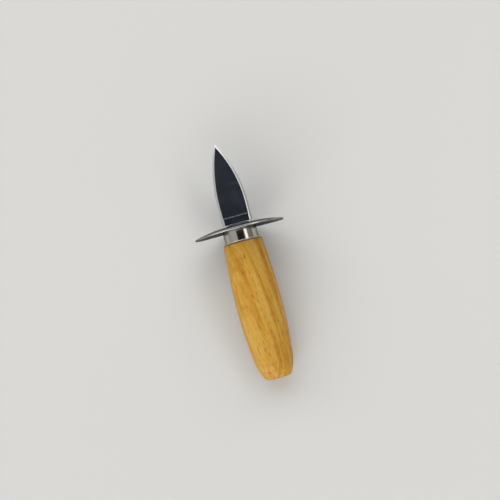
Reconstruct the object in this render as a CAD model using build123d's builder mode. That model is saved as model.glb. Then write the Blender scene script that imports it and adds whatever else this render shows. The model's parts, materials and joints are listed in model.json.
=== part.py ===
from build123d import *
import os
from math import asin, cos, degrees, hypot, sin

# Oyster knife, lying as it rests on a table: on the rim of its guard and on the taper of its grip.
# Lengths are millimetres. Distances along the knife are counted from the shoulder of the grip,
# towards the tip, so that what lies inside the grip is behind zero.

# Grip: a turned barrel, widest a little behind its middle
GRIP_LENGTH = 90.1
SHOULDER_RADIUS = 12.75
BELLY_RADIUS = 14.8
BELLY_DISTANCE = 42.3
TAPER_RADIUS = 12.7
TAPER_DISTANCE = 77.3
BUTT_RADIUS = 8.2
BUTT_ROUNDING = 2.6
SHOULDER_ROUNDING = 0.4

# Ferrule: a deep-drawn cap over the tenon, with a small lip at its open end
FERRULE_RADIUS = 11.0
FERRULE_HEIGHT = 10.1
FERRULE_WALL = 0.8
FERRULE_CORNER = 1.5
LIP_HEIGHT = 0.8
LIP_STEP = 0.2
TENON_CLEARANCE = 0.05
TENON_TOP_GAP = 0.2

# Guard: an oval plate, dished towards the grip outside the flat seat that lies on the ferrule
GUARD_WIDTH = 58.5
GUARD_DEPTH = 52.0
GUARD_SHEET = 1.0
GUARD_DISH = 3.0
GUARD_ROUNDING = 0.35

# Blade: stock of one thickness, ground thinner past the grind line, with a bevel on each edge
STOCK = 2.2
BLADE_WIDTH = 19.8
BLADE_LENGTH = 53.2
PARALLEL_LENGTH = 11.6
TIP_OFFSET = 1.5
GRIND_DISTANCE = 4.2
GRIND_RAMP = 0.5
GRIND_DEPTH = 0.12
TIP_THICKNESS = 1.5
BEVEL_WIDTH = 1.8
EDGE_LAND = 0.4
HEEL_STEP = 1.2
FOOT_HEIGHT = 1.3
FOOT_LEDGE = 0.4
FOOT_CHAMFER = 0.25
FOOT_CHAMFER_ANGLE = 45

# Stick tang, the slots that it passes and the bore that holds it
TANG_WIDTH = 8.0
TANG_LENGTH = 60.0
TANG_END_CHAMFER = 1.5
SLOT_CLEARANCE = 0.15
GLUE_FILM = 0.45
GLUE_DEPTH = 1.5

# Cutters run past the faces that they cut by this much
OVERRUN = 2.0

# The rest pose is found between level and the steepest tilt, in radians, on points this many to an edge
STEEPEST_TILT = 1.0
TILT_PRECISION = 1e-9
POINTS_PER_EDGE = 200

TENON_RADIUS = FERRULE_RADIUS - FERRULE_WALL - TENON_CLEARANCE
CAP_UNDERSIDE = FERRULE_HEIGHT - FERRULE_WALL
TENON_LENGTH = CAP_UNDERSIDE - TENON_TOP_GAP
SEAT_RADIUS = FERRULE_RADIUS - FERRULE_CORNER
SEAT_TOP = FERRULE_HEIGHT + GUARD_SHEET
FOOT_TOP = SEAT_TOP + FOOT_HEIGHT
TIP = FOOT_TOP + BLADE_LENGTH
TANG_END = SEAT_TOP - TANG_LENGTH
BORE_RADIUS = hypot(TANG_WIDTH, STOCK) / 2 + GLUE_FILM
BORE_BOTTOM = TANG_END - GLUE_DEPTH


def grip_profile():
    """Half section of the handle: distance along the knife, then radius."""
    belly = (-BELLY_DISTANCE, BELLY_RADIUS)
    taper = (-TAPER_DISTANCE, TAPER_RADIUS)
    butt = (-GRIP_LENGTH, BUTT_RADIUS)
    shoulder = (0, SHOULDER_RADIUS)
    with BuildSketch() as section:
        with BuildLine():
            TangentArc(belly, shoulder, tangent=(1, 0))
            rear = TangentArc(belly, taper, tangent=(-1, 0))
            TangentArc(taper, butt, tangent=rear % 1)
            Polyline(
                shoulder,
                (0, TENON_RADIUS),
                (TENON_LENGTH, TENON_RADIUS),
                (TENON_LENGTH, 0),
                (-GRIP_LENGTH, 0),
                butt,
            )
        make_face()
        corners = section.vertices()
        fillet(corners.sort_by_distance(butt)[0], BUTT_ROUNDING)
        fillet(corners.sort_by_distance(shoulder)[0], SHOULDER_ROUNDING)
    return section.sketch


def dish_profile(reach):
    """Half section of the guard's dished sheet, out to the given radius."""
    run = GUARD_WIDTH / 2 - SEAT_RADIUS
    inner = (run**2 + GUARD_DISH**2) / (2 * GUARD_DISH)
    outer = inner + GUARD_SHEET
    centre = (FERRULE_HEIGHT - inner, SEAT_RADIUS)
    end_inner = degrees(asin((reach - SEAT_RADIUS) / inner))
    end_outer = degrees(asin((reach - SEAT_RADIUS) / outer))
    with BuildSketch() as section:
        with BuildLine():
            under = CenterArc(centre, inner, 0, end_inner)
            top = CenterArc(centre, outer, 0, end_outer)
            Line(under @ 1, top @ 1)
            Polyline(under @ 0, (FERRULE_HEIGHT, 0), (SEAT_TOP, 0), top @ 0)
        make_face()
    return section.sketch


def blade_outline(start):
    """Outline of the blade seen on its flat face, from start to the tip."""
    half = BLADE_WIDTH / 2
    tip = (TIP, TIP_OFFSET)
    curve_start = FOOT_TOP + PARALLEL_LENGTH
    with BuildSketch() as outline:
        with BuildLine():
            TangentArc((curve_start, -half), tip, tangent=(1, 0))
            TangentArc((curve_start, half), tip, tangent=(1, 0))
            Polyline((curve_start, half), (start, half), (start, -half), (curve_start, -half))
        make_face()
    return outline.sketch


def tang_outline():
    """Outline of the stick tang seen on the blade's flat face, with its end corners cut."""
    half = TANG_WIDTH / 2
    with BuildSketch() as outline:
        with BuildLine():
            Polyline(
                (SEAT_TOP, half),
                (TANG_END + TANG_END_CHAMFER, half),
                (TANG_END, half - TANG_END_CHAMFER),
                (TANG_END, TANG_END_CHAMFER - half),
                (TANG_END + TANG_END_CHAMFER, -half),
                (SEAT_TOP, -half),
                close=True,
            )
        make_face()
    return outline.sketch


# Sections in the plane that holds the knife's axis and stands on the blade's flat faces
grip_section = grip_profile()
with BuildSketch() as rim_section:
    add(dish_profile(GUARD_DEPTH / 2))
    fillet(rim_section.vertices().sort_by(Axis.Y)[-2:], GUARD_ROUNDING)


def rings(section):
    """Closely spaced points of a half section, as distance and radius."""
    shares = [i / POINTS_PER_EDGE for i in range(POINTS_PER_EDGE + 1)]
    return [(p.X, p.Y) for edge in section.edges() for p in edge.positions(shares)]


def lowest(points, tilt):
    """Height of the lowest of the points below the axis at the shoulder, tip raised by tilt."""
    return min(distance * sin(tilt) - radius * cos(tilt) for distance, radius in points)


# Rest pose: the tilt at which the guard's rim and the grip reach equally low
grip_rings = rings(grip_section)
rim_rings = rings(rim_section.sketch)
tilt, steepest = 0.0, STEEPEST_TILT
while steepest - tilt > TILT_PRECISION:
    middle = (tilt + steepest) / 2
    if lowest(rim_rings, middle) < lowest(grip_rings, middle):
        tilt = middle
    else:
        steepest = middle

# The shoulder's centre, for a box that stands on zero and is centred over it
back = min(distance * cos(tilt) - radius * sin(tilt) for distance, radius in grip_rings)
front = TIP * cos(tilt) + EDGE_LAND / 2 * sin(tilt)
shoulder_centre = Vector(-(back + front) / 2, 0, -lowest(rim_rings, tilt))
tip_way = Vector(cos(tilt), 0, sin(tilt))
face_way = Vector(-sin(tilt), 0, cos(tilt))

knife_axis = Axis(shoulder_centre, tip_way)
across = Plane(shoulder_centre, x_dir=(0, 1, 0), z_dir=tip_way)
flat = Plane(shoulder_centre, x_dir=tip_way, z_dir=face_way)
lengthwise = Plane(shoulder_centre, x_dir=tip_way, z_dir=(0, -1, 0))


# Handle
with BuildPart() as handle:
    with BuildSketch(lengthwise):
        add(grip_section)
    revolve(axis=knife_axis)
    with BuildSketch(across.offset(BORE_BOTTOM)):
        Circle(BORE_RADIUS)
    extrude(amount=TENON_LENGTH - BORE_BOTTOM + OVERRUN, mode=Mode.SUBTRACT)
handle.part.label = "handle"

# Ferrule
with BuildPart() as ferrule:
    inner_radius = FERRULE_RADIUS - FERRULE_WALL
    lip_radius = FERRULE_RADIUS + LIP_STEP
    with BuildSketch(lengthwise) as ferrule_section:
        with BuildLine():
            Polyline(
                (0, inner_radius),
                (0, lip_radius),
                (LIP_HEIGHT, lip_radius),
                (LIP_HEIGHT + LIP_STEP, FERRULE_RADIUS),
                (FERRULE_HEIGHT, FERRULE_RADIUS),
                (FERRULE_HEIGHT, 0),
                (CAP_UNDERSIDE, 0),
                (CAP_UNDERSIDE, inner_radius),
                close=True,
            )
        make_face()
        corners = ferrule_section.vertices()
        fillet(corners.sort_by_distance((FERRULE_HEIGHT, FERRULE_RADIUS))[0], FERRULE_CORNER)
        inner_corner = corners.sort_by_distance((CAP_UNDERSIDE, inner_radius))[0]
        fillet(inner_corner, FERRULE_CORNER - FERRULE_WALL)
        fillet(corners.sort_by_distance((0, lip_radius))[0], LIP_STEP)
        fillet(corners.sort_by_distance((LIP_HEIGHT, lip_radius))[0], LIP_STEP)
    revolve(axis=knife_axis)
    with BuildSketch(across.offset(CAP_UNDERSIDE - OVERRUN)):
        Rectangle(TANG_WIDTH + 2 * SLOT_CLEARANCE, STOCK + 2 * SLOT_CLEARANCE)
    extrude(amount=FERRULE_WALL + 2 * OVERRUN, mode=Mode.SUBTRACT)
ferrule.part.label = "ferrule"

# Guard: a round dished blank trimmed to the oval
with BuildPart() as guard:
    with BuildSketch(lengthwise):
        add(dish_profile(GUARD_WIDTH / 2 + OVERRUN))
    revolve(axis=knife_axis)
    with BuildSketch(across):
        Ellipse(GUARD_WIDTH / 2, GUARD_DEPTH / 2)
    extrude(amount=SEAT_TOP + OVERRUN, mode=Mode.INTERSECT)
    fillet(guard.edges().sort_by(SortBy.LENGTH)[-2:], GUARD_ROUNDING)
    with BuildSketch(across.offset(FERRULE_HEIGHT - OVERRUN)):
        Rectangle(TANG_WIDTH + 2 * SLOT_CLEARANCE, STOCK + 2 * SLOT_CLEARANCE)
    extrude(amount=GUARD_SHEET + 2 * OVERRUN, mode=Mode.SUBTRACT)
guard.part.label = "guard"

# Blade, with its foot and tang
with BuildPart() as blade:
    bevel_height = (STOCK - EDGE_LAND) / 2
    bevel_angle = degrees(asin(BEVEL_WIDTH / hypot(BEVEL_WIDTH, bevel_height)))
    blade_root = FOOT_TOP - BEVEL_WIDTH - OVERRUN
    with BuildSketch(flat):
        add(blade_outline(blade_root))
    extrude(amount=EDGE_LAND / 2, both=True)
    with BuildSketch(flat.offset(EDGE_LAND / 2)):
        add(blade_outline(blade_root))
    extrude(amount=bevel_height, taper=bevel_angle)
    mirror(about=flat)
    with BuildSketch(lengthwise):
        with BuildLine():
            ground = STOCK / 2 - GRIND_DEPTH
            proud = STOCK / 2 + OVERRUN
            Polyline(
                (FOOT_TOP + GRIND_DISTANCE, proud),
                (FOOT_TOP + GRIND_DISTANCE, STOCK / 2),
                (FOOT_TOP + GRIND_DISTANCE + GRIND_RAMP, ground),
                (TIP, TIP_THICKNESS / 2),
                (TIP + OVERRUN, TIP_THICKNESS / 2),
                (TIP + OVERRUN, proud),
                close=True,
            )
        make_face()
        mirror(about=Plane.XZ)
    extrude(amount=BLADE_WIDTH, both=True, mode=Mode.SUBTRACT)
    split(bisect_by=across.offset(FOOT_TOP), keep=Keep.TOP)
    foot_width = BLADE_WIDTH - 2 * HEEL_STEP
    foot_thickness = STOCK + 2 * FOOT_LEDGE
    with BuildSketch(across.offset(SEAT_TOP)):
        SlotOverall(foot_width, foot_thickness)
    extrude(amount=FOOT_HEIGHT - FOOT_CHAMFER)
    with BuildSketch(across.offset(FOOT_TOP - FOOT_CHAMFER)):
        SlotOverall(foot_width, foot_thickness)
    extrude(amount=FOOT_CHAMFER, taper=FOOT_CHAMFER_ANGLE)
    with BuildSketch(flat):
        add(tang_outline())
    extrude(amount=STOCK / 2, both=True)
blade.part.label = "blade"

# Adhesive that fills the bore round the tang
with BuildPart() as tang_adhesive:
    with BuildSketch(across.offset(BORE_BOTTOM)):
        Circle(BORE_RADIUS)
    extrude(amount=CAP_UNDERSIDE - BORE_BOTTOM)
    with BuildSketch(flat):
        add(tang_outline())
    extrude(amount=STOCK / 2, both=True, mode=Mode.SUBTRACT)
tang_adhesive.part.label = "tang_adhesive"

os.makedirs("parts", exist_ok=True)
for piece in (handle, ferrule, guard, blade, tang_adhesive):
    export_step(piece.part, f"parts/{piece.part.label}.step")

butt_centre = shoulder_centre - tip_way * GRIP_LENGTH
print("tilt, degrees", degrees(tilt))
print("shoulder centre", shoulder_centre, "butt centre", butt_centre)
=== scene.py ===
import json
from math import acos, atan, atan2, cos, hypot, pi, radians, sin, sqrt, tan

import bmesh
import bpy
from mathutils import Matrix, Vector


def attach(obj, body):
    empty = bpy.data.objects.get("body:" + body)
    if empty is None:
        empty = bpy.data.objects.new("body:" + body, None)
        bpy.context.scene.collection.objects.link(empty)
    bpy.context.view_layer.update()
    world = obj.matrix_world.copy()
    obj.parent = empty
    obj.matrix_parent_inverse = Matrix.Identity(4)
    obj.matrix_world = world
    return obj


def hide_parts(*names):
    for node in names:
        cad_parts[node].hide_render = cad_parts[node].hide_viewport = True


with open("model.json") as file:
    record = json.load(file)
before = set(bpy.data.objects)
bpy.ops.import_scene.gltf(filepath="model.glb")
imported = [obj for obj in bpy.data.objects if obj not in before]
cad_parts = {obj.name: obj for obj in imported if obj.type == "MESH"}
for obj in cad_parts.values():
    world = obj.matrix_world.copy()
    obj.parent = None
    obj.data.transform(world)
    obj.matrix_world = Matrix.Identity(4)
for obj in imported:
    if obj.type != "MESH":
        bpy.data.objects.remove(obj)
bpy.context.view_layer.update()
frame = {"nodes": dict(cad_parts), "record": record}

# Oyster knife lying on a pale table, seen from above.
# Shapes are worked out in the knife's own millimetres: x runs from the grip's shoulder to the tip,
# y to the side that the point leans to, and z out of the blade's upper face.

# Grip
GRIP_LENGTH = 90.1
SHOULDER_RADIUS = 12.75
BELLY_RADIUS = 14.8
BELLY_DISTANCE = 42.3
TAPER_RADIUS = 12.7
TAPER_DISTANCE = 77.3
BUTT_RADIUS = 8.2
BUTT_ROUNDING = 2.6
SHOULDER_ROUNDING = 0.4

# Ferrule
FERRULE_RADIUS = 11.0
FERRULE_HEIGHT = 10.1
FERRULE_WALL = 0.8
FERRULE_CORNER = 1.5
LIP_HEIGHT = 1.0
LIP_STEP = 0.2
LIP_FALL = 0.24
LIP_EDGE_ROUNDING = 0.06
TENON_CLEARANCE = 0.05
TENON_TOP_GAP = 0.2

# Guard
GUARD_WIDTH = 58.5
GUARD_DEPTH = 52.0
GUARD_SHEET = 1.0
GUARD_DISH = 3.0
GUARD_ROUNDING = 0.35

# Blade
STOCK = 2.2
BLADE_WIDTH = 19.8
BLADE_LENGTH = 53.2
PARALLEL_LENGTH = 11.6
TIP_OFFSET = 1.5
GRIND_DISTANCE = 4.2
GRIND_RAMP = 0.65
GRIND_DEPTH = 0.12
TIP_THICKNESS = 1.5
BEVEL_WIDTH = 1.8
EDGE_LAND = 0.4
EDGE_ROUNDING = 0.08
BEVEL_FULLNESS = 0.045
BEVEL_STEPS = 4
HEEL_STEP = 1.2
FOOT_HEIGHT = 1.3
FOOT_LEDGE = 0.4
FOOT_ROUNDING = 0.07
FOOT_END_RUN = 3.2
FOOT_END_DROP = 1.0

# Tang, slots and bore
TANG_WIDTH = 8.0
TANG_LENGTH = 60.0
TANG_END_CHAMFER = 1.5
SLOT_CLEARANCE = 0.15
GLUE_FILM = 0.45
GLUE_DEPTH = 1.5

TENON_RADIUS = FERRULE_RADIUS - FERRULE_WALL - TENON_CLEARANCE
CAP_UNDERSIDE = FERRULE_HEIGHT - FERRULE_WALL
TENON_LENGTH = CAP_UNDERSIDE - TENON_TOP_GAP
SEAT_RADIUS = FERRULE_RADIUS - FERRULE_CORNER
SEAT_TOP = FERRULE_HEIGHT + GUARD_SHEET
FOOT_TOP = SEAT_TOP + FOOT_HEIGHT
CURVE_START = FOOT_TOP + PARALLEL_LENGTH
TIP = FOOT_TOP + BLADE_LENGTH
TANG_END = SEAT_TOP - TANG_LENGTH
BORE_RADIUS = hypot(TANG_WIDTH, STOCK) / 2 + GLUE_FILM
BORE_BOTTOM = TANG_END - GLUE_DEPTH
DISH_RUN = GUARD_WIDTH / 2 - SEAT_RADIUS
DISH_RADIUS = (DISH_RUN**2 + GUARD_DISH**2) / (2 * GUARD_DISH)

# How finely the meshes are drawn. MEETING_HALVINGS is how often the search for the place where both bevels
# meet halves its step, and SUPPORT is how far beyond a rounding or a line the next ring lies.
TURNED_SIDES = 192
GUARD_SIDES = 256
LONG_ARC_STEPS = 48
CORNER_STEPS = 10
BLADE_STEPS = 90
FOOT_SIDE_STEPS = 24
FOOT_END_STEPS = 20
MEETING_HALVINGS = 60
CREASE_ANGLE = radians(10)
SUPPORT = 0.08
SAME_POINT = 0.001
CUT_OVERRUN = 2.0

# The knife's own frame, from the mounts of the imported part
MM = 0.001
mounts = {mount["name"]: mount for mount in frame["record"]["mounts"]}
tip_way = -Vector(mounts["butt_face"]["axis"])
point_way = Vector((0, 1, 0))
face_way = tip_way.cross(point_way)
shoulder = Vector(mounts["butt_face"]["pos_m"]) + tip_way * GRIP_LENGTH * MM
turned = Matrix((tip_way, point_way, face_way)).transposed()
knife_place = Matrix.Translation(shoulder) @ turned.to_4x4() @ Matrix.Scale(MM, 4)


class Net:
    """A node tree under construction. A value is a number, a colour, a vector or another node's output."""

    def __init__(self, tree):
        self.tree = tree

    def feed(self, node, name, value):
        """Sets an input of a node, or links it."""
        if isinstance(value, bpy.types.NodeSocket):
            self.tree.links.new(value, node.inputs[name])
        else:
            node.inputs[name].default_value = value

    def add(self, kind, values=None, **settings):
        """A new node with its inputs and settings."""
        node = self.tree.nodes.new(kind)
        for name, value in settings.items():
            setattr(node, name, value)
        for name, value in (values or {}).items():
            self.feed(node, name, value)
        return node

    def socket(self, name, kind, in_out="INPUT", default=None):
        """A named input or output of the whole tree."""
        made = self.tree.interface.new_socket(name=name, in_out=in_out, socket_type=kind)
        if default is not None:
            made.default_value = default

    def group(self, tree, values):
        """The outputs of another tree, placed here with its own values."""
        node = self.add(self.tree.bl_idname.replace("NodeTree", "NodeGroup"), node_tree=tree)
        for name, value in values.items():
            self.feed(node, name, value)
        return node.outputs

    def math(self, operation, a, b=0.0, clamp=False):
        """The result of one step of arithmetic."""
        node = self.add("ShaderNodeMath", {0: a, 1: b}, operation=operation, use_clamp=clamp)
        return node.outputs[0]


class ShaderNet(Net):
    """Short ways to write the nodes that the finishes use most."""

    def dot(self, vector, way):
        """How far a vector points the given way."""
        return self.add("ShaderNodeVectorMath", {0: vector, 1: way}, operation="DOT_PRODUCT").outputs["Value"]

    def plus(self, value, mask, strength):
        """A value raised where the mask is, by up to the strength."""
        return self.math("ADD", value, self.math("MULTIPLY", mask, strength))

    def blend(self, share, a, b):
        """A number from a to b."""
        return self.add("ShaderNodeMix", {0: share, 2: a, 3: b}).outputs[0]

    def mix(self, share, a, b):
        """A colour from a to b."""
        return self.add("ShaderNodeMix", {0: share, 6: a, 7: b}, data_type="RGBA").outputs[2]

    def tint(self, colour, other, mask, strength):
        """A colour with another one laid over it where the mask is, up to the strength."""
        return self.mix(self.math("MULTIPLY", mask, strength), colour, other)

    def spread(self, value, low, high, out_low=0.0, out_high=1.0):
        """Takes a value from low and high to the two out values, smoothly and no further."""
        values = {"Value": value, "From Min": low, "From Max": high, "To Min": out_low, "To Max": out_high}
        return self.add("ShaderNodeMapRange", values, interpolation_type="SMOOTHSTEP").outputs[0]

    def stretch(self, vector, scale, turn=(0, 0, 0), shift=(0, 0, 0)):
        """A place scaled, turned and moved, for a pattern to be laid out in."""
        values = {"Vector": vector, "Location": shift, "Rotation": turn, "Scale": scale}
        return self.add("ShaderNodeMapping", values).outputs[0]

    def noise(self, vector, scale=1.0, detail=2.0, roughness=0.5):
        """A cloudy pattern from 0 to 1, with so many cells to a unit of the place."""
        values = {"Vector": vector, "Scale": scale, "Detail": detail, "Roughness": roughness}
        return self.add("ShaderNodeTexNoise", values).outputs["Fac"]


# Shapes

def tangent_arc(start, end, heading, steps):
    """Points of the arc that leaves start along heading and reaches end, and the heading there."""
    start, heading = Vector(start), Vector(heading)
    chord = Vector(end) - start
    side = Vector((-heading.y, heading.x))
    centre = start + side * chord.length_squared / (2 * chord.dot(side))
    turn = 2 * atan2(chord.dot(side), chord.dot(heading))
    points = [centre + Matrix.Rotation(turn * i / steps, 2) @ (start - centre) for i in range(steps + 1)]
    return points, Matrix.Rotation(turn, 2) @ heading


def round_corner(points, corner, radius, steps=CORNER_STEPS):
    """Rounds a string of points at the one that lies on corner."""
    i = min(range(len(points)), key=lambda k: (points[k] - Vector(corner)).length)
    corner = points[i]
    back, on = (points[i - 1] - corner).normalized(), (points[i + 1] - corner).normalized()
    half = acos(back.dot(on)) / 2
    setback = radius / tan(half)
    centre = corner + (back + on).normalized() * radius / sin(half)
    first, last = corner + back * setback - centre, corner + on * setback - centre
    turn = atan2(first.x * last.y - first.y * last.x, first.dot(last))
    bend = [centre + Matrix.Rotation(turn * k / steps, 2) @ first for k in range(steps + 1)]
    before, after = points[:i], points[i + 1:]
    while before and (before[-1] - corner).length <= setback + SUPPORT:
        before.pop()
    while after and (after[0] - corner).length <= setback + SUPPORT:
        after.pop(0)
    return before + [corner + back * (setback + SUPPORT)] + bend + [corner + on * (setback + SUPPORT)] + after


def handle_section():
    """Half section of the handle from its butt round the tenon and down the bore."""
    belly, taper = (-BELLY_DISTANCE, BELLY_RADIUS), (-TAPER_DISTANCE, TAPER_RADIUS)
    butt = (-GRIP_LENGTH, BUTT_RADIUS)
    fore = tangent_arc(belly, (0, SHOULDER_RADIUS), (1, 0), LONG_ARC_STEPS)[0]
    rear, heading = tangent_arc(belly, taper, (-1, 0), LONG_ARC_STEPS)
    tail = tangent_arc(taper, butt, heading, LONG_ARC_STEPS // 2)[0]
    inside = [
        (0, TENON_RADIUS), (TENON_LENGTH, TENON_RADIUS), (TENON_LENGTH, BORE_RADIUS),
        (BORE_BOTTOM, BORE_RADIUS), (BORE_BOTTOM, 0),
    ]
    points = [Vector((-GRIP_LENGTH, 0))] + tail[::-1] + rear[-2::-1] + fore[1:] + [Vector(p) for p in inside]
    points = round_corner(points, butt, BUTT_ROUNDING)
    return round_corner(points, (0, SHOULDER_RADIUS), SHOULDER_ROUNDING)


def ferrule_section():
    """Half section of the ferrule from the middle of its top round the lip and back inside."""
    inner, lip = FERRULE_RADIUS - FERRULE_WALL, FERRULE_RADIUS + LIP_STEP
    top, under = (FERRULE_HEIGHT, FERRULE_RADIUS), (CAP_UNDERSIDE, inner)
    lip_edge = (0, lip - LIP_FALL)
    points = [Vector(p) for p in (
        (FERRULE_HEIGHT, 0), top, (LIP_HEIGHT + LIP_STEP, FERRULE_RADIUS), (LIP_HEIGHT, lip),
        lip_edge, (0, inner), under, (CAP_UNDERSIDE, 0),
    )]
    points = round_corner(points, top, FERRULE_CORNER)
    points = round_corner(points, (LIP_HEIGHT, lip), LIP_STEP)
    points = round_corner(points, lip_edge, LIP_EDGE_ROUNDING)
    return round_corner(points, under, FERRULE_CORNER - FERRULE_WALL)


def guard_section():
    """Half section of the round dished sheet from the middle of its top over the rim and back under it."""
    def dish(radius):
        reach = atan(DISH_RUN / sqrt(radius**2 - DISH_RUN**2))
        centre = Vector((FERRULE_HEIGHT - DISH_RADIUS, SEAT_RADIUS))
        turns = [reach * i / LONG_ARC_STEPS for i in range(LONG_ARC_STEPS + 1)]
        return [centre + Vector((cos(turn), sin(turn))) * radius for turn in turns]

    top, under = dish(DISH_RADIUS + GUARD_SHEET), dish(DISH_RADIUS)
    points = [Vector((SEAT_TOP, 0))] + top + under[::-1] + [Vector((FERRULE_HEIGHT, 0))]
    points = round_corner(points, top[-1], GUARD_ROUNDING)
    return round_corner(points, under[-1], GUARD_ROUNDING)


def turning_tree():
    """Turns a half section, given as a string of points, about the knife's axis into a closed body."""
    net = Net(bpy.data.node_groups.new("turning", "GeometryNodeTree"))
    net.socket("Half Section", "NodeSocketGeometry")
    net.socket("Sides", "NodeSocketInt", default=TURNED_SIDES)
    net.socket("Weld", "NodeSocketFloat", default=SAME_POINT)
    net.socket("Body", "NodeSocketGeometry", "OUTPUT")
    given = net.add("NodeGroupInput").outputs
    seam = net.math("ADD", given["Sides"], 1)
    count = net.add("GeometryNodeAttributeDomainSize", {0: given["Half Section"]}).outputs["Point Count"]
    grid = net.add("GeometryNodeMeshGrid", {"Vertices X": count, "Vertices Y": seam}).outputs["Mesh"]
    index = net.add("GeometryNodeInputIndex").outputs[0]
    ring = net.math("FLOOR", net.math("DIVIDE", index, seam))
    side = net.math("MODULO", index, seam)
    angle = net.math("MULTIPLY", net.math("DIVIDE", side, given["Sides"]), 2 * pi)
    place = net.add("GeometryNodeInputPosition").outputs[0]
    sample = net.add("GeometryNodeSampleIndex", data_type="FLOAT_VECTOR")
    net.feed(sample, "Geometry", given["Half Section"])
    net.feed(sample, "Value", place)
    net.feed(sample, "Index", ring)
    values = {"Vector": sample.outputs[0], "Angle": angle}
    rotated = net.add("ShaderNodeVectorRotate", values, rotation_type="X_AXIS")
    moved = net.add("GeometryNodeSetPosition", {"Geometry": grid, "Position": rotated.outputs[0]}).outputs[0]
    welded = net.add("GeometryNodeMergeByDistance", {"Geometry": moved, "Distance": given["Weld"]}).outputs[0]
    net.feed(net.add("NodeGroupOutput"), "Body", welded)
    return net.tree


def add_slot(net, given, body):
    """Cuts the tang's slot through a body, at the distance along the axis that is given."""
    sides = {0: given["Slot Reach"], 1: given["Slot Width"], 2: given["Slot Height"]}
    size = net.add("ShaderNodeCombineXYZ", sides).outputs[0]
    cutter = net.add("GeometryNodeMeshCube", {"Size": size}).outputs["Mesh"]
    middle = net.add("ShaderNodeCombineXYZ", {0: given["Slot Middle"]}).outputs[0]
    placed = net.add("GeometryNodeTransform", {"Geometry": cutter, "Translation": middle}).outputs[0]
    cut = net.add("GeometryNodeMeshBoolean", operation="DIFFERENCE", solver="EXACT")
    net.feed(cut, "Mesh 1", body)
    net.tree.links.new(placed, cut.inputs["Mesh 2"])
    return cut.outputs["Mesh"]


def add_slot_sockets(net):
    """The inputs that give the tang's slot its place and sizes."""
    net.socket("Slot Middle", "NodeSocketFloat", default=CAP_UNDERSIDE)
    net.socket("Slot Reach", "NodeSocketFloat", default=FERRULE_WALL + CUT_OVERRUN)
    net.socket("Slot Width", "NodeSocketFloat", default=TANG_WIDTH + 2 * SLOT_CLEARANCE)
    net.socket("Slot Height", "NodeSocketFloat", default=STOCK + 2 * SLOT_CLEARANCE)


def finish_tree(net, given, body):
    """Ends a tree with a plain body in its material."""
    real = net.add("GeometryNodeRealizeInstances", {0: body}).outputs[0]
    painted = net.add("GeometryNodeSetMaterial", {"Geometry": real, "Material": given["Material"]}).outputs[0]
    net.feed(net.add("NodeGroupOutput"), "Body", painted)
    return net.tree


def turned_piece_tree(turning, slotted):
    """A turned piece: the handle as it is, or the ferrule with its slot."""
    net = Net(bpy.data.node_groups.new("slotted_cap" if slotted else "turned_grip", "GeometryNodeTree"))
    net.socket("Half Section", "NodeSocketGeometry")
    net.socket("Sides", "NodeSocketInt", default=TURNED_SIDES)
    net.socket("Material", "NodeSocketMaterial")
    if slotted:
        add_slot_sockets(net)
    net.socket("Body", "NodeSocketGeometry", "OUTPUT")
    given = net.add("NodeGroupInput").outputs
    body = net.group(turning, {"Half Section": given["Half Section"], "Sides": given["Sides"]})["Body"]
    if slotted:
        body = add_slot(net, given, body)
    return finish_tree(net, given, body)


def oval_guard_tree(turning):
    """The guard: a turned dished sheet, drawn in to an oval without leaving its dish, then slotted."""
    net = Net(bpy.data.node_groups.new("oval_guard", "GeometryNodeTree"))
    net.socket("Half Section", "NodeSocketGeometry")
    net.socket("Sides", "NodeSocketInt", default=GUARD_SIDES)
    net.socket("Material", "NodeSocketMaterial")
    net.socket("Width", "NodeSocketFloat", default=GUARD_WIDTH)
    net.socket("Depth", "NodeSocketFloat", default=GUARD_DEPTH)
    net.socket("Seat Radius", "NodeSocketFloat", default=SEAT_RADIUS)
    net.socket("Dish Radius", "NodeSocketFloat", default=DISH_RADIUS)
    add_slot_sockets(net)
    net.socket("Body", "NodeSocketGeometry", "OUTPUT")
    given = net.add("NodeGroupInput").outputs
    body = net.group(turning, {"Half Section": given["Half Section"], "Sides": given["Sides"]})["Body"]

    math = net.math
    place = net.add("ShaderNodeSeparateXYZ", {0: net.add("GeometryNodeInputPosition").outputs[0]}).outputs
    reach = math("SQRT", math("ADD", math("POWER", place["Y"], 2), math("POWER", place["Z"], 2)))
    safe_reach = math("MAXIMUM", reach, SAME_POINT)
    along_width = math("DIVIDE", math("MULTIPLY", place["Y"], given["Depth"]), safe_reach)
    along_depth = math("DIVIDE", math("MULTIPLY", place["Z"], given["Width"]), safe_reach)
    spread = math("SQRT", math("ADD", math("POWER", along_width, 2), math("POWER", along_depth, 2)))
    draw_in = math("DIVIDE", given["Depth"], spread)

    def drop(radius):
        run = math("MAXIMUM", math("SUBTRACT", radius, given["Seat Radius"]), 0.0)
        height = math("SQRT", math("SUBTRACT", math("POWER", given["Dish Radius"], 2), math("POWER", run, 2)))
        return math("SUBTRACT", given["Dish Radius"], height)

    lift = math("SUBTRACT", drop(reach), drop(math("MULTIPLY", reach, draw_in)))
    drawn = net.add("ShaderNodeCombineXYZ", {
        0: math("ADD", place["X"], lift),
        1: math("MULTIPLY", place["Y"], draw_in),
        2: math("MULTIPLY", place["Z"], draw_in),
    }).outputs[0]
    body = net.add("GeometryNodeSetPosition", {"Geometry": body, "Position": drawn}).outputs[0]
    return finish_tree(net, given, add_slot(net, given, body))


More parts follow.
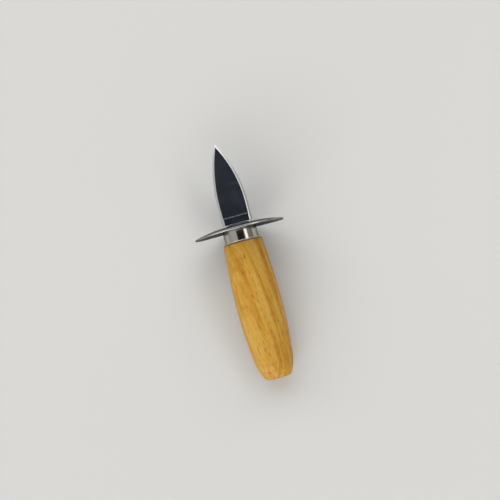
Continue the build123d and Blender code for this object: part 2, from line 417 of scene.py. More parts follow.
def made_by(tree, name, section, values):
    """Runs a tree of geometry nodes on a half section and returns the plain mesh object."""
    mesh = bpy.data.meshes.new(name)
    mesh.from_pydata([(p.x, 0, p.y) for p in section], [(i, i + 1) for i in range(len(section) - 1)], [])
    piece = bpy.data.objects.new(name, mesh)
    bpy.context.scene.collection.objects.link(piece)
    modifier = piece.modifiers.new(tree.name, "NODES")
    modifier.node_group = tree
    sockets = {item.name: item.identifier for item in tree.interface.items_tree if item.in_out == "INPUT"}
    for socket, value in values.items():
        modifier[sockets[socket]] = value
    bpy.context.view_layer.update()
    evaluated = piece.evaluated_get(bpy.context.evaluated_depsgraph_get())
    plain = bpy.data.meshes.new_from_object(evaluated)
    piece.modifiers.clear()
    piece.data = plain
    return piece


def side_radius(side):
    """Radius of the arc that takes one side of the blade's outline to the tip."""
    run, fall = TIP - CURVE_START, BLADE_WIDTH / 2 - TIP_OFFSET * side
    return (run**2 + fall**2) / (2 * fall)


def blade_side(side, setback, distance):
    """How far from the middle one side of the blade's outline is, drawn in by setback."""
    half, radius = BLADE_WIDTH / 2, side_radius(side)
    if distance <= CURVE_START:
        return side * (half - setback)
    return side * (half - radius + sqrt((radius - setback) ** 2 - (distance - CURVE_START) ** 2))


def edge_distance(side, distance, y):
    """How far a point of the blade is from one side's outline."""
    radius = side_radius(side)
    return radius - hypot(distance - CURVE_START, y * side - BLADE_WIDTH / 2 + radius)


def flat_height(distance):
    """Half the blade's thickness on its flats."""
    line = FOOT_TOP + GRIND_DISTANCE
    if distance <= line:
        return STOCK / 2
    ground = STOCK / 2 - GRIND_DEPTH
    if distance <= line + GRIND_RAMP:
        return STOCK / 2 - GRIND_DEPTH * (distance - line) / GRIND_RAMP
    share = (distance - line - GRIND_RAMP) / (TIP - line - GRIND_RAMP)
    return ground + (TIP_THICKNESS / 2 - ground) * share


def bowed(start, end):
    """Points from start to end along a bevel that the grinding left slightly full."""
    start, end = Vector(start), Vector(end)
    across = Vector((start.y - end.y, end.x - start.x)).normalized()
    if across.y < 0:
        across = -across
    full = BEVEL_FULLNESS * (end - start).length
    shares = [i / BEVEL_STEPS for i in range(BEVEL_STEPS + 1)]
    return [tuple(start.lerp(end, share) + across * full * 4 * share * (1 - share)) for share in shares]


def blade_section(distance):
    """Upper half of the blade's section at a distance, from the point's side to the other, as y and z."""
    land = EDGE_LAND / 2
    slope = (STOCK / 2 - land) / BEVEL_WIDTH
    left, right = blade_side(1, 0, distance), blade_side(-1, 0, distance)
    height = flat_height(distance)
    setback = (height - land) / slope
    inner_left, inner_right = (blade_side(side, setback, distance) for side in (1, -1))
    if inner_left <= inner_right:
        low, high = right, left
        for _ in range(MEETING_HALVINGS):
            middle = (low + high) / 2
            if edge_distance(1, distance, middle) > edge_distance(-1, distance, middle):
                low = middle
            else:
                high = middle
        inner_left = inner_right = middle
        height = land + slope * edge_distance(1, distance, middle)
    nose = min(EDGE_ROUNDING, (left - right) / 4)
    upper = [(left - nose, land), (inner_left, height), (inner_right, height), (right + nose, land)]
    faces = [bowed(upper[0], upper[1]), [((inner_left + inner_right) / 2, height)], bowed(upper[2], upper[3])]
    return [point for face in faces for point in face], left, right, land - nose


def ring_mesh(name, rings):
    """A closed body from rings of as many points each, with its ends capped."""
    mesh = bpy.data.meshes.new(name)
    body = bmesh.new()
    verts = [[body.verts.new(p) for p in ring] for ring in rings]
    for lower, upper in zip(verts, verts[1:]):
        for i in range(len(lower)):
            j = (i + 1) % len(lower)
            body.faces.new((lower[i], lower[j], upper[j], upper[i]))
    body.faces.new(verts[0][::-1])
    body.faces.new(verts[-1])
    bmesh.ops.remove_doubles(body, verts=body.verts, dist=SAME_POINT)
    bmesh.ops.dissolve_degenerate(body, edges=body.edges, dist=SAME_POINT)
    bmesh.ops.recalc_face_normals(body, faces=body.faces)
    body.to_mesh(mesh)
    body.free()
    return mesh


def ground_blade():
    """The blade above its foot, ring by ring, with the grind line and both bevels."""
    line = FOOT_TOP + GRIND_DISTANCE
    stops = [FOOT_TOP, line - SUPPORT / 2, line, line + GRIND_RAMP, line + GRIND_RAMP + SUPPORT]
    stops += [stops[-1] + (TIP - stops[-1]) * i / BLADE_STEPS for i in range(1, BLADE_STEPS)]
    tail = (TIP - stops[-1]) / 2
    stops += [TIP - tail, TIP - tail / 2, TIP - 2 * SAME_POINT]
    rings = []
    for distance in stops:
        upper, left, right, low = blade_section(distance)
        lower = [(y, -z) for y, z in upper[::-1]]
        ring = upper + [(right, low), (right, -low)] + lower + [(left, -low), (left, low)]
        rings.append([(distance, y, z) for y, z in ring])
    return ring_mesh("blade_body", rings)


def stadium(width, thickness, inset, distance):
    """A ring with round ends, drawn in by inset, square to the knife's axis."""
    reach = (width - thickness) / 2
    radius = thickness / 2 - inset
    points = []
    for side, start in ((1, -pi / 2), (-1, pi / 2)):
        for i in range(FOOT_SIDE_STEPS + 1):
            turn = start + pi * i / FOOT_SIDE_STEPS
            points.append((distance, side * reach + cos(turn) * radius, sin(turn) * radius))
    return points


def foot():
    """The foot that sits on the guard, with its ends rounded over and a small rounding along its top."""
    width, thickness = BLADE_WIDTH - 2 * HEEL_STEP, STOCK + 2 * FOOT_LEDGE
    rings = [stadium(width, thickness, 0, SEAT_TOP)]
    for i in range(FOOT_END_STEPS + 1):
        turn = pi / 2 * i / FOOT_END_STEPS
        run, drop = FOOT_END_RUN * (1 - cos(turn)), FOOT_END_DROP * (1 - sin(turn))
        low = max(FOOT_ROUNDING - drop, 0)
        inset = FOOT_ROUNDING - sqrt(FOOT_ROUNDING**2 - low**2)
        rings.append(stadium(width - 2 * run, thickness, inset, FOOT_TOP - drop))
    return ring_mesh("foot_body", rings)


def tang():
    """The stick tang with its end corners cut, from its end to the foot."""
    half, edge = TANG_WIDTH / 2, STOCK / 2
    corners = ((1, 1), (-1, 1), (-1, -1), (1, -1))
    places = [(TANG_END, half - TANG_END_CHAMFER), (TANG_END + TANG_END_CHAMFER, half), (SEAT_TOP, half)]
    return ring_mesh("tang_body", [[(x, y * side, edge * face) for side, face in corners] for x, y in places])


def joined(name, meshes):
    """One closed body from several that meet."""
    pieces = []
    for mesh in meshes:
        piece = bpy.data.objects.new(mesh.name, mesh)
        bpy.context.scene.collection.objects.link(piece)
        pieces.append(piece)
    base = pieces[0]
    for other in pieces[1:]:
        union = base.modifiers.new("union", "BOOLEAN")
        union.operation, union.object, union.solver = "UNION", other, "EXACT"
    bpy.context.view_layer.update()
    made = bpy.data.meshes.new_from_object(base.evaluated_get(bpy.context.evaluated_depsgraph_get()))
    for piece in pieces:
        bpy.data.objects.remove(piece)
    result = bpy.data.objects.new(name, made)
    bpy.context.scene.collection.objects.link(result)
    return result


def finished(piece, node):
    """Puts a piece made in the knife's own millimetres in its place, and lets it stand for its node."""
    body = bmesh.new()
    body.from_mesh(piece.data)
    bmesh.ops.recalc_face_normals(body, faces=body.faces)
    if body.calc_volume(signed=True) < 0:
        bmesh.ops.reverse_faces(body, faces=body.faces)
    body.to_mesh(piece.data)
    body.free()
    piece.data.transform(knife_place)
    piece.data.shade_smooth()
    piece.data.set_sharp_from_angle(angle=CREASE_ANGLE)
    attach(piece, "root")
    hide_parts(node)


# Finishes: patterns are laid out in the knife's own millimetres

# Where a surface that bends starts and ends to be worn, the range of the pattern that makes this patchy and
# how much it does, and how finely the bend is found
WORN_BEND = (0.01, 0.09)
PATCH_RANGE = (0.25, 0.65)
PATCH_STRENGTH = (0.3, 1.6)
WEAR_SAMPLES = 6

# How much of the polishing lines is fine, at what scale the others are, and which of those are scratches
FINE_SHARE = 0.65
COARSE_SCALE = 0.23
SCRATCH_RANGE = (0.66, 0.74)

# The range of the broad pattern that is smudged, and how finer specks break it up
SMUDGE_RANGE = (0.42, 0.7)
SPECK_SCALE = 9.0
SPECK_RANGE = (0.2, 0.7)
SPECK_STRENGTH = (0.5, 1.0)


def edge_wear_group():
    """How far a place on the surface has worn bright, because an edge stands out there."""
    net = ShaderNet(bpy.data.node_groups.new("edge_wear", "ShaderNodeTree"))
    net.socket("Place", "NodeSocketVector")
    net.socket("Reach", "NodeSocketFloat", default=0.3 * MM)
    net.socket("Patch Size", "NodeSocketFloat", default=2.0)
    net.socket("Wear", "NodeSocketFloat", "OUTPUT")
    given = net.add("NodeGroupInput").outputs
    rounded = net.add("ShaderNodeBevel", {"Radius": given["Reach"]}, samples=WEAR_SAMPLES).outputs[0]
    facing = net.add("ShaderNodeNewGeometry").outputs["Normal"]
    bend = net.math("SUBTRACT", 1.0, net.dot(rounded, facing))
    scale = net.math("DIVIDE", 1.0, given["Patch Size"])
    patches = net.noise(given["Place"], scale, detail=3.0, roughness=0.6)
    patchy = net.math("MULTIPLY", bend, net.spread(patches, *PATCH_RANGE, *PATCH_STRENGTH))
    net.feed(net.add("NodeGroupOutput"), "Wear", net.spread(patchy, *WORN_BEND))
    return net.tree


def polishing_lines_group():
    """Fine lines left by grinding or polishing. They run along the first axis of the given place."""
    net = ShaderNet(bpy.data.node_groups.new("polishing_lines", "ShaderNodeTree"))
    net.socket("Place", "NodeSocketVector")
    net.socket("Line Length", "NodeSocketFloat", default=12.0)
    net.socket("Line Width", "NodeSocketFloat", default=0.12)
    net.socket("Lines", "NodeSocketFloat", "OUTPUT")
    net.socket("Scratches", "NodeSocketFloat", "OUTPUT")
    given = net.add("NodeGroupInput").outputs
    along = net.math("DIVIDE", 1.0, given["Line Length"])
    across = net.math("DIVIDE", 1.0, given["Line Width"])
    scale = net.add("ShaderNodeCombineXYZ", {0: along, 1: across, 2: across}).outputs[0]
    drawn_out = net.stretch(given["Place"], scale)
    fine = net.noise(drawn_out, detail=3.0, roughness=0.65)
    coarse = net.noise(drawn_out, COARSE_SCALE)
    out = net.add("NodeGroupOutput")
    net.feed(out, "Lines", net.plus(net.math("MULTIPLY", fine, FINE_SHARE), coarse, 1 - FINE_SHARE))
    net.feed(out, "Scratches", net.spread(coarse, *SCRATCH_RANGE))
    return net.tree


def smudges_group():
    """Faint smudges and dull patches left by handling."""
    net = ShaderNet(bpy.data.node_groups.new("smudges", "ShaderNodeTree"))
    net.socket("Place", "NodeSocketVector")
    net.socket("Smudge Size", "NodeSocketFloat", default=7.0)
    net.socket("Smudges", "NodeSocketFloat", "OUTPUT")
    given = net.add("NodeGroupInput").outputs
    scale = net.math("DIVIDE", 1.0, given["Smudge Size"])
    broad = net.noise(given["Place"], scale, detail=4.0, roughness=0.55)
    specks = net.noise(given["Place"], net.math("MULTIPLY", scale, SPECK_SCALE), detail=3.0, roughness=0.6)
    smudged = net.spread(broad, *SMUDGE_RANGE)
    broken = net.spread(specks, *SPECK_RANGE, *SPECK_STRENGTH)
    net.feed(net.add("NodeGroupOutput"), "Smudges", net.math("MULTIPLY", smudged, broken))
    return net.tree


edge_wear = edge_wear_group()
polishing_lines = polishing_lines_group()
smudges = smudges_group()


def lines_on(net, place, length, width):
    """The polishing lines of a steel, along the first axis of the place, with sizes in millimetres."""
    return net.group(polishing_lines, {"Place": place, "Line Length": length, "Line Width": width})


def smudges_on(net, place, size):
    """The smudges of a surface, about so many millimetres across."""
    return net.group(smudges, {"Place": place, "Smudge Size": size})["Smudges"]


def wear_on(net, place, reach, patch_size):
    """The worn edges of a surface, and how far the wear reaches from them, in millimetres."""
    return net.group(edge_wear, {"Place": place, "Reach": reach * MM, "Patch Size": patch_size})["Wear"]


def new_finish(name, settings):
    """A material with its shader, and the place on the knife in the knife's own millimetres."""
    material = bpy.data.materials.new(name)
    material.use_nodes = True
    net = ShaderNet(material.node_tree)
    shader = material.node_tree.nodes["Principled BSDF"]
    for socket, value in settings.items():
        shader.inputs[socket].default_value = value
    object_place = net.add("ShaderNodeTexCoord").outputs["Object"]
    tilt = atan2(tip_way.z, tip_way.x)
    values = {"Vector": object_place, "Location": shoulder, "Rotation": (0, -tilt, 0), "Scale": (MM, MM, MM)}
    place = net.add("ShaderNodeMapping", values, vector_type="TEXTURE").outputs[0]
    return material, net, shader, place


def bump(net, shader, height, strength, depth):
    """Raises the surface by the given height, in parts of depth, which is in millimetres."""
    values = {"Height": height, "Strength": strength, "Distance": depth * MM}
    net.feed(shader, "Normal", net.add("ShaderNodeBump", values).outputs[0])


# Wood: its colours and lacquer, how far its grain leans from the knife's axis and drifts sideways in
# millimetres, and how far beside the knife the heart of the tree was
LIGHT_WOOD = (0.512, 0.322, 0.070, 1)
HONEY_WOOD = (0.430, 0.233, 0.025, 1)
DEEP_WOOD = (0.349, 0.143, 0.007, 1)
FLECK_BROWN = (0.195, 0.050, 0.002, 1)
LACQUER = {"Coat Weight": 0.03, "Coat Roughness": 0.3, "Specular IOR Level": 0.22}
GRAIN_LEAN = radians(9)
DRIFT_REACH = (0.0, 2.0, 2.0)
PITH_SHIFT = (0, 26, 34)

# How many of each pattern's cells go to a millimetre, along the grain and across it
DRIFT_SCALE = (0.010, 0.02, 0.02)
LAYER_SCALE = 0.30
RING_SCALE = 0.9
STREAK_SCALE = (0.014, 0.26, 0.26)
FIBRE_SCALE = (0.025, 1.1, 1.1)
PORE_SCALE = (0.45, 7.0, 7.0)
CROWD_SCALE = (0.03, 0.09, 0.09)
CROWD_SHIFT = (3.1, 0, 0)

# What layers, streaks and fibres add to the tone, and between which tones the colours change
LAYER_SHARE = 0.28
STREAK_SHARE = 0.40
FIBRE_SHARE = 0.32
DEEP_TONES = (0.32, 0.55)
LIGHT_TONES = (0.45, 0.69)
PORE_RANGE = (0.50, 0.72)
PORE_STRENGTH = 0.45

# Dashes of the rays: the cell that each has to itself in millimetres, what share of the cells hold one
# where dashes are few and where they crowd, and where a dash fades out from its middle
SMALL_FLECKS = {
    "size": (5.0, 0.62, 0.75),
    "crowding": (0.36, 0.64),
    "chance": (0.20, 0.56),
    "fade": (0.10, 0.46),
}
LARGE_FLECKS = {
    "size": (14.0, 1.35, 1.5),
    "crowding": (0.30, 0.60),
    "chance": (0.14, 0.42),
    "fade": (0.06, 0.32),
}
SMALL_FLECK_STRENGTH = 0.8
LARGE_FLECK_STRENGTH = 1.1
FAINTEST_FLECK = 0.3
RAGGEDNESS = 0.6

# End grain: how squarely the wood faces along the grain there, what is left of the dashes, the range of
# the layers that show as rings, and how far those have soaked up lacquer
END_GRAIN_FACING = (0.70, 0.97)
END_GRAIN_FLECKS = 0.2
RING_RANGE = (0.35, 0.65)
SOAKED_RINGS = (0.25, 0.95)

# Painted shade in the gap at the shoulder, in millimetres from it, how strong it and the wear are, how rough
# the lacquer is over the range of the fibres and how much rougher where it is smudged, and how far fibres
# stand out and dashes are sunk
SHOULDER_SHADE_SPAN = (-0.9, -0.15)
SHOULDER_SHADE_STRENGTH = 0.7
WOOD_WEAR = 0.25
FIBRE_RANGE = (0.2, 0.8)
WOOD_ROUGHNESS = (0.40, 0.54)
WOOD_DIRT_ROUGHNESS = 0.12
FIBRE_HEIGHT = 0.5
DENT_DEPTH = 0.25


def flecks(net, place, crowd, ragged, size, crowding, chance, fade):
    """Short dashes of the wood's rays: up to 1 inside a dash. The ragged pattern breaks their outlines."""
    scale = tuple(1 / length for length in size)
    cells = net.add("ShaderNodeTexVoronoi", {"Vector": net.stretch(place, scale), "Scale": 1.0}).outputs
    drawn = net.add("ShaderNodeSeparateColor", {0: cells["Color"]}).outputs
    present = net.math("LESS_THAN", drawn[0], net.spread(crowd, *crowding, *chance))
    depth = net.math("MULTIPLY", present, net.math("ADD", drawn[1], FAINTEST_FLECK))
    reach = net.plus(cells["Distance"], net.math("SUBTRACT", ragged, 0.5), RAGGEDNESS)
    return net.math("MULTIPLY", net.spread(reach, *fade, 1.0, 0.0), depth)


def honey_beech():
    """Lacquered beech: growth layers, long streaks, fine fibres and the short brown dashes of its rays."""
    material, net, shader, place = new_finish("honey_beech", LACQUER)
    grain = net.stretch(place, (1, 1, 1), turn=(0, 0, -GRAIN_LEAN))
    drift = net.add("ShaderNodeTexNoise", {"Vector": net.stretch(grain, DRIFT_SCALE), "Detail": 1.0})
    values = {0: drift.outputs["Color"], 1: DRIFT_REACH}
    wander = net.add("ShaderNodeVectorMath", values, operation="MULTIPLY").outputs[0]
    fibre_place = net.add("ShaderNodeVectorMath", {0: grain, 1: wander}, operation="ADD").outputs[0]
    from_pith = net.stretch(fibre_place, (0, 1, 1), shift=PITH_SHIFT)
    pith_distance = net.add("ShaderNodeVectorMath", {0: from_pith}, operation="LENGTH").outputs["Value"]

    def layers(scale):
        values = {"W": pith_distance, "Scale": scale, "Detail": 3.0, "Roughness": 0.6}
        return net.add("ShaderNodeTexNoise", values, noise_dimensions="1D").outputs["Fac"]

    streaks = net.noise(net.stretch(fibre_place, STREAK_SCALE))
    fibres = net.noise(net.stretch(fibre_place, FIBRE_SCALE), detail=4.0, roughness=0.8)
    pores = net.noise(net.stretch(fibre_place, PORE_SCALE), roughness=0.6)
    tone = net.plus(net.math("MULTIPLY", layers(LAYER_SCALE), LAYER_SHARE), streaks, STREAK_SHARE)
    tone = net.plus(tone, fibres, FIBRE_SHARE)
    colour = net.mix(net.spread(tone, *DEEP_TONES), DEEP_WOOD, HONEY_WOOD)
    colour = net.mix(net.spread(tone, *LIGHT_TONES), colour, LIGHT_WOOD)
    colour = net.mix(net.spread(pores, *PORE_RANGE, 0.0, PORE_STRENGTH), colour, FLECK_BROWN)

    facing = net.add("ShaderNodeNewGeometry").outputs["Normal"]
    end_grain = net.spread(net.math("ABSOLUTE", net.dot(facing, tip_way)), *END_GRAIN_FACING)
    dashed = net.spread(end_grain, 0.0, 1.0, 1.0, END_GRAIN_FLECKS)
    crowd = net.noise(net.stretch(fibre_place, CROWD_SCALE, shift=CROWD_SHIFT))
    small = flecks(net, fibre_place, crowd, pores, **SMALL_FLECKS)
    large = flecks(net, fibre_place, crowd, pores, **LARGE_FLECKS)
    for dashes, strength in ((small, SMALL_FLECK_STRENGTH), (large, LARGE_FLECK_STRENGTH)):
        strong = net.math("MULTIPLY", dashes, strength, clamp=True)
        colour = net.mix(net.math("MULTIPLY", strong, dashed), colour, FLECK_BROWN)
    soaked = net.math("MULTIPLY", end_grain, net.spread(layers(RING_SCALE), *RING_RANGE, *SOAKED_RINGS))
    colour = net.mix(soaked, colour, DEEP_WOOD)

    along = net.add("ShaderNodeSeparateXYZ", {0: place}).outputs[0]
    # Painted shade: the wood just behind the shoulder is darkened towards brown, where the ferrule's lip
    # shades the gap
    colour = net.mix(net.spread(along, *SHOULDER_SHADE_SPAN, 0.0, SHOULDER_SHADE_STRENGTH), colour, FLECK_BROWN)
    colour = net.tint(colour, DEEP_WOOD, wear_on(net, place, reach=0.5, patch_size=3.0), WOOD_WEAR)
    net.feed(shader, "Base Color", colour)
    rough = net.spread(fibres, *FIBRE_RANGE, *WOOD_ROUGHNESS)
    net.feed(shader, "Roughness", net.plus(rough, smudges_on(net, place, size=14.0), WOOD_DIRT_ROUGHNESS))
    dents = net.math("MULTIPLY", net.math("ADD", small, large), DENT_DEPTH)
    height = net.math("SUBTRACT", net.math("MULTIPLY", fibres, FIBRE_HEIGHT), dents)
    bump(net, shader, height, strength=0.3, depth=0.04)
    return material


# Steels: in the troughs and on the crests of the polishing lines, where they are dull or worn, the painted
# highlight on the ferrule's lip, and what tints their reflections at a grazing angle
FERRULE_STEEL = (0.44, 0.422, 0.375, 1), (0.53, 0.51, 0.455, 1)
FERRULE_DULL = (0.375, 0.355, 0.31, 1)
FERRULE_WORN = (0.70, 0.68, 0.64, 1)
FERRULE_LIP_HIGHLIGHT = (0.82, 0.81, 0.79, 1)
FERRULE_GRAZING = (0.30, 0.295, 0.28, 1)
GUARD_STEEL = (0.33, 0.33, 0.325, 1), (0.43, 0.43, 0.425, 1)
GUARD_DULL = (0.30, 0.29, 0.28, 1)
GUARD_WORN = (0.52, 0.51, 0.49, 1)
GUARD_GRAZING = (0.18, 0.18, 0.175, 1)
BLADE_STEEL = (0.48, 0.52, 0.60, 1), (0.56, 0.60, 0.69, 1)
BLADE_DARKENED = (0.28, 0.295, 0.335, 1)
BLADE_DULL = (0.345, 0.355, 0.37, 1)
BLADE_BEVEL = (0.60, 0.605, 0.62, 1)
BLADE_WORN = (0.70, 0.70, 0.70, 1)
BLADE_GRAZING = (0.30, 0.31, 0.34, 1)

# Which of the lines are troughs and which are crests, and how rough each steel is in them
LINE_RANGE = (0.3, 0.7)
FERRULE_ROUGHNESS = (0.075, 0.125)
GUARD_ROUGHNESS = (0.18, 0.26)
FACE_ROUGHNESS = (0.13, 0.22)
BEVEL_ROUGHNESS = (0.24, 0.34)
FOOT_ROUGHNESS = 0.32

# What turns the lines across the knife, and how slowly they change out of the blade's face, so that they
# run round the ferrule and down the blade's sides
ACROSS = (0, 0, pi / 2)
ROUND_SCALE = (1, 1, 0.12)
SIDE_SCALE = (1, 1, 0.05)

# How squarely the blade's surface looks out of its face where a bevel ends, how dark it is before the
# grind line, and what is left of its lines there
BEVEL_FACING = (0.93, 0.97)
HEEL_DARKNESS = 0.6
HEEL_LINES = 0.35


def bright_ferrule_steel():
    """Polished plated steel with fine lines round the ferrule, and a rougher lip painted pale as a highlight.
    """
    settings = {"Metallic": 1.0, "Specular Tint": FERRULE_GRAZING}
    material, net, shader, place = new_finish("bright_ferrule_steel", settings)
    round_place = net.stretch(net.stretch(place, (1, 1, 1), turn=ACROSS), ROUND_SCALE)
    lines = lines_on(net, round_place, length=9.0, width=0.10)["Lines"]
    dull = smudges_on(net, place, size=5.0)
    wear = wear_on(net, place, reach=0.25, patch_size=1.5)
    along = net.add("ShaderNodeSeparateXYZ", {0: place}).outputs[0]
    # Painted highlight: the lip's colour is lifted towards pale to give a bright line of light along it, and
    # the lip is made rougher
    lip = net.spread(along, LIP_HEIGHT, LIP_HEIGHT + LIP_STEP, 1.0, 0.0)
    colour = net.mix(net.spread(lines, *LINE_RANGE), *FERRULE_STEEL)
    colour = net.tint(colour, FERRULE_DULL, dull, strength=0.35)
    colour = net.tint(colour, FERRULE_WORN, wear, strength=0.5)
    net.feed(shader, "Base Color", net.tint(colour, FERRULE_LIP_HIGHLIGHT, lip, strength=0.9))
    rough = net.plus(net.spread(lines, *LINE_RANGE, *FERRULE_ROUGHNESS), dull, strength=0.07)
    rough = net.plus(rough, wear, strength=0.06)
    net.feed(shader, "Roughness", net.plus(rough, lip, strength=0.22))
    bump(net, shader, lines, strength=0.22, depth=0.012)
    return material


def polished_guard_steel():
    """Pressed stainless plate, buffed across and worn along its rim."""
    settings = {"Metallic": 1.0, "Specular Tint": GUARD_GRAZING}
    material, net, shader, place = new_finish("polished_guard_steel", settings)
    buffed = lines_on(net, net.stretch(place, (1, 1, 1), turn=ACROSS), length=16.0, width=0.14)
    lines, scratches = buffed["Lines"], buffed["Scratches"]
    dull = smudges_on(net, place, size=8.0)
    colour = net.mix(net.spread(lines, *LINE_RANGE), *GUARD_STEEL)
    colour = net.tint(colour, GUARD_DULL, dull, strength=0.4)
    wear = wear_on(net, place, reach=0.35, patch_size=2.5)
    net.feed(shader, "Base Color", net.tint(colour, GUARD_WORN, wear, strength=0.25))
    rough = net.plus(net.spread(lines, *LINE_RANGE, *GUARD_ROUGHNESS), dull, strength=0.08)
    net.feed(shader, "Roughness", net.plus(rough, scratches, strength=0.08))
    bump(net, shader, lines, strength=0.25, depth=0.015)
    return material


def ground_blade_steel():
    """Blade steel: faces ground across past the grind line and along before it, bevels ground to the edge."""
    settings = {"Metallic": 1.0, "Specular Tint": BLADE_GRAZING}
    material, net, shader, place = new_finish("ground_blade_steel", settings)
    cross_place = net.stretch(net.stretch(place, SIDE_SCALE), (1, 1, 1), turn=ACROSS)
    cross_lines = lines_on(net, cross_place, length=10.0, width=0.09)["Lines"]
    long_lines = lines_on(net, place, length=14.0, width=0.12)["Lines"]
    dull = smudges_on(net, place, size=9.0)
    along = net.add("ShaderNodeSeparateXYZ", {0: place}).outputs[0]
    line = FOOT_TOP + GRIND_DISTANCE
    past = net.spread(along, line, line + GRIND_RAMP)
    foot = net.spread(along, FOOT_TOP - FOOT_ROUNDING, FOOT_TOP, 1.0, 0.0)
    facing = net.add("ShaderNodeNewGeometry").outputs["Normal"]
    bevel = net.spread(net.math("ABSOLUTE", net.dot(facing, face_way)), *BEVEL_FACING, 1.0, 0.0)
    lines = net.blend(past, long_lines, cross_lines)
    colour = net.mix(net.spread(lines, *LINE_RANGE), *BLADE_STEEL)
    colour = net.mix(net.spread(past, 0.0, 1.0, HEEL_DARKNESS, 0.0), colour, BLADE_DARKENED)
    colour = net.mix(bevel, net.tint(colour, BLADE_DULL, dull, strength=0.35), BLADE_BEVEL)
    wear = wear_on(net, place, reach=0.12, patch_size=1.2)
    net.feed(shader, "Base Color", net.tint(colour, BLADE_WORN, wear, strength=0.6))
    face_rough = net.plus(net.spread(lines, *LINE_RANGE, *FACE_ROUGHNESS), dull, strength=0.05)
    rough = net.blend(bevel, face_rough, net.spread(lines, *LINE_RANGE, *BEVEL_ROUGHNESS))
    net.feed(shader, "Roughness", net.blend(foot, rough, FOOT_ROUGHNESS))
    height = net.math("MULTIPLY", lines, net.spread(past, 0.0, 1.0, HEEL_LINES, 1.0))
    bump(net, shader, height, strength=0.25, depth=0.012)
    return material


# Adhesive, between its dark and pale clouds, and its bubbles: how many to a millimetre, and how they fade
EPOXY = (0.56, 0.39, 0.14, 1), (0.68, 0.53, 0.27, 1)
EPOXY_ROUGHNESS = (0.18, 0.34)
CLOUD_RANGE = (0.3, 0.7)
EPOXY_BUBBLE = (0.78, 0.68, 0.48, 1)
BUBBLE_SCALE = 0.9
BUBBLE_FADE = (0.10, 0.20)


def amber_epoxy():
    """Cured adhesive, cloudy amber with small bubbles."""
    settings = {"Coat Weight": 0.1, "Coat Roughness": 0.2}
    material, net, shader, place = new_finish("amber_epoxy", settings)
    cloud = net.noise(place, scale=0.25, detail=4.0, roughness=0.6)
    cells = net.add("ShaderNodeTexVoronoi", {"Vector": place, "Scale": BUBBLE_SCALE})
    bubble = net.spread(cells.outputs["Distance"], *BUBBLE_FADE, 1.0, 0.0)
    colour = net.mix(net.spread(cloud, *CLOUD_RANGE), *EPOXY)
    net.feed(shader, "Base Color", net.tint(colour, EPOXY_BUBBLE, bubble, strength=0.5))
    net.feed(shader, "Roughness", net.spread(cloud, *CLOUD_RANGE, *EPOXY_ROUGHNESS))
    bump(net, shader, net.math("ADD", cloud, bubble), strength=0.4, depth=0.08)
    return material


adhesive = frame["nodes"]["tang_adhesive"]
adhesive.data.materials.clear()
adhesive.data.materials.append(amber_epoxy())

turning = turning_tree()
handle = made_by(turned_piece_tree(turning, False), "turned_handle", handle_section(), {
    "Material": honey_beech(),
})
finished(handle, "handle")
ferrule = made_by(turned_piece_tree(turning, True), "drawn_ferrule", ferrule_section(), {
    "Material": bright_ferrule_steel(),
    "Slot Middle": CAP_UNDERSIDE,
})
finished(ferrule, "ferrule")
guard = made_by(oval_guard_tree(turning), "pressed_guard", guard_section(), {
    "Sides": GUARD_SIDES,
    "Material": polished_guard_steel(),
    "Slot Middle": FERRULE_HEIGHT,
})
finished(guard, "guard")
blade = joined("ground_blade", [ground_blade(), foot(), tang()])
blade.data.materials.append(ground_blade_steel())
finished(blade, "blade")


# Studio

TABLE_REACH = 4.0
TABLE_COLOUR = (0.540, 0.538, 0.530, 1)
TABLE_ROUGHNESS = 0.8
TABLE_GLOSS = 0.1
BACKGROUND = (0.60, 0.60, 0.595, 1)

# Light round the knife's axis, at angles from straight above the blade's face towards the right
LEFT_WALL = (0.60, 0.60, 0.59, 1)
RIGHT_WALL = (0.30, 0.295, 0.28, 1)
WALL_CHANGE = (-0.4, 0.6)
CEILING = (0.018, 0.0215, 0.027, 1)
CEILING_SPAN = (radians(-25), radians(24))
CEILING_SOFTNESS = 0.05
STRIP = (2.00, 1.98, 1.92, 1)
STRIP_SPAN = (radians(29), radians(47))
STRIP_SOFTNESS = 0.06

# Windows beyond both ends: their light, the shares of it that come from the left and the right, and where
# they start and how they fade in, as cosines of the angle to the axis
TIP_WINDOW = (2.10, 2.09, 2.07, 1)
TIP_WINDOW_SHARES = (1.05, 0.95)
TIP_WINDOW_START = 0.41
BUTT_WINDOW = (2.75, 2.73, 2.68, 1)
BUTT_WINDOW_SHARES = (1.7, 0.3)
BUTT_WINDOW_START = 0.34
WINDOW_FADE = 0.16
WINDOW_SIDES = 0.7

# What is left of all this at the horizon, and how high up the light is full
LOW_SHARE = 0.82
FULL_HEIGHT = 0.5


def pale_table():
    """The plain pale table top that the knife lies on."""
    mesh = bpy.data.meshes.new("table_top")
    corners = [(TABLE_REACH * x, TABLE_REACH * y, 0) for x, y in ((-1, -1), (1, -1), (1, 1), (-1, 1))]
    mesh.from_pydata(corners, [], [(0, 1, 2, 3)])
    table = bpy.data.objects.new("table_top", mesh)
    bpy.context.scene.collection.objects.link(table)
    material = bpy.data.materials.new("pale_table")
    material.use_nodes = True
    shader = material.node_tree.nodes["Principled BSDF"]
    shader.inputs["Base Color"].default_value = TABLE_COLOUR
    shader.inputs["Roughness"].default_value = TABLE_ROUGHNESS
    shader.inputs["Specular IOR Level"].default_value = TABLE_GLOSS
    table.data.materials.append(material)


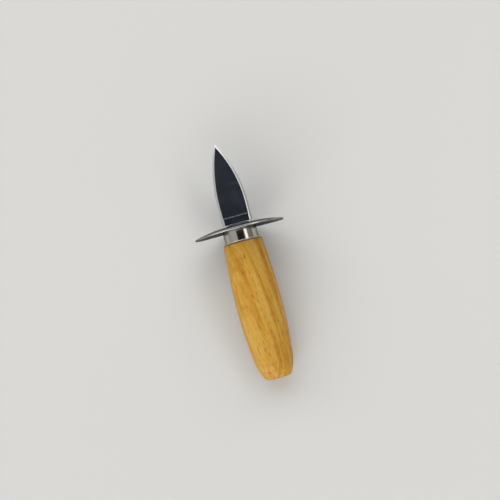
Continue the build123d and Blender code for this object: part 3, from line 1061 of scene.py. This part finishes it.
def studio_light():
    """Soft light from beyond both ends of the knife, a dark ceiling and a bright strip on the right."""
    world = bpy.data.worlds.new("studio")
    bpy.context.scene.world = world
    world.use_nodes = True
    net = ShaderNet(world.node_tree)
    way = net.add("ShaderNodeTexCoord").outputs["Generated"]

    def between(value, start, end, soft):
        rise = net.spread(value, start - soft, start + soft)
        return net.math("MULTIPLY", rise, net.spread(value, end - soft, end + soft, 1.0, 0.0))

    def scaled(colour, factor):
        return net.add("ShaderNodeVectorMath", {0: colour, "Scale": factor}, operation="SCALE").outputs[0]

    to_right = net.dot(way, -point_way)
    around = net.math("ARCTAN2", to_right, net.dot(way, face_way))
    light = net.mix(net.spread(around, *WALL_CHANGE), LEFT_WALL, RIGHT_WALL)
    light = net.mix(between(around, *CEILING_SPAN, CEILING_SOFTNESS), light, CEILING)
    light = net.mix(between(around, *STRIP_SPAN, STRIP_SOFTNESS), light, STRIP)
    for window, start, colour, shares in (
        (tip_way, TIP_WINDOW_START, TIP_WINDOW, TIP_WINDOW_SHARES),
        (-tip_way, BUTT_WINDOW_START, BUTT_WINDOW, BUTT_WINDOW_SHARES),
    ):
        leaning = scaled(colour[:3], net.spread(to_right, -WINDOW_SIDES, WINDOW_SIDES, *shares))
        light = net.mix(net.spread(net.dot(way, window), start, start + WINDOW_FADE), light, leaning)
    height = net.dot(way, Vector((0, 0, 1)))
    shaded = scaled(light, net.spread(height, 0.0, FULL_HEIGHT, LOW_SHARE, 1.0))
    seen = net.add("ShaderNodeLightPath").outputs["Is Camera Ray"]
    net.feed(world.node_tree.nodes["Background"], "Color", net.mix(seen, shaded, BACKGROUND))


# Camera: how far its line of sight leans from the blade's face towards the butt, how far the tip leans
# to the left of up in the picture, and what the middle of the picture shows
VIEW_LEAN = radians(1.5)
PICTURE_TURN = radians(15)
VIEW_DISTANCE = 759.0
VIEW_FROM_SHOULDER = -6.5
VIEW_FROM_AXIS = -3.25
LENS = 85
SENSOR = 36


def camera():
    """A camera at the photograph's viewing angle."""
    back = face_way * cos(VIEW_LEAN) - tip_way * sin(VIEW_LEAN)
    along = tip_way * cos(VIEW_LEAN) + face_way * sin(VIEW_LEAN)
    right = -along * sin(PICTURE_TURN) - point_way * cos(PICTURE_TURN)
    target = shoulder + (tip_way * VIEW_FROM_SHOULDER + point_way * VIEW_FROM_AXIS) * MM
    data = bpy.data.cameras.new("camera")
    data.sensor_width, data.lens = SENSOR, LENS
    eye = bpy.data.objects.new("camera", data)
    bpy.context.scene.collection.objects.link(eye)
    facing = Matrix((right, back.cross(right), back)).transposed().to_4x4()
    eye.matrix_world = Matrix.Translation(target + back * VIEW_DISTANCE * MM) @ facing
    bpy.context.scene.camera = eye


camera()
pale_table()
studio_light()
bpy.context.scene.view_settings.view_transform = "Standard"
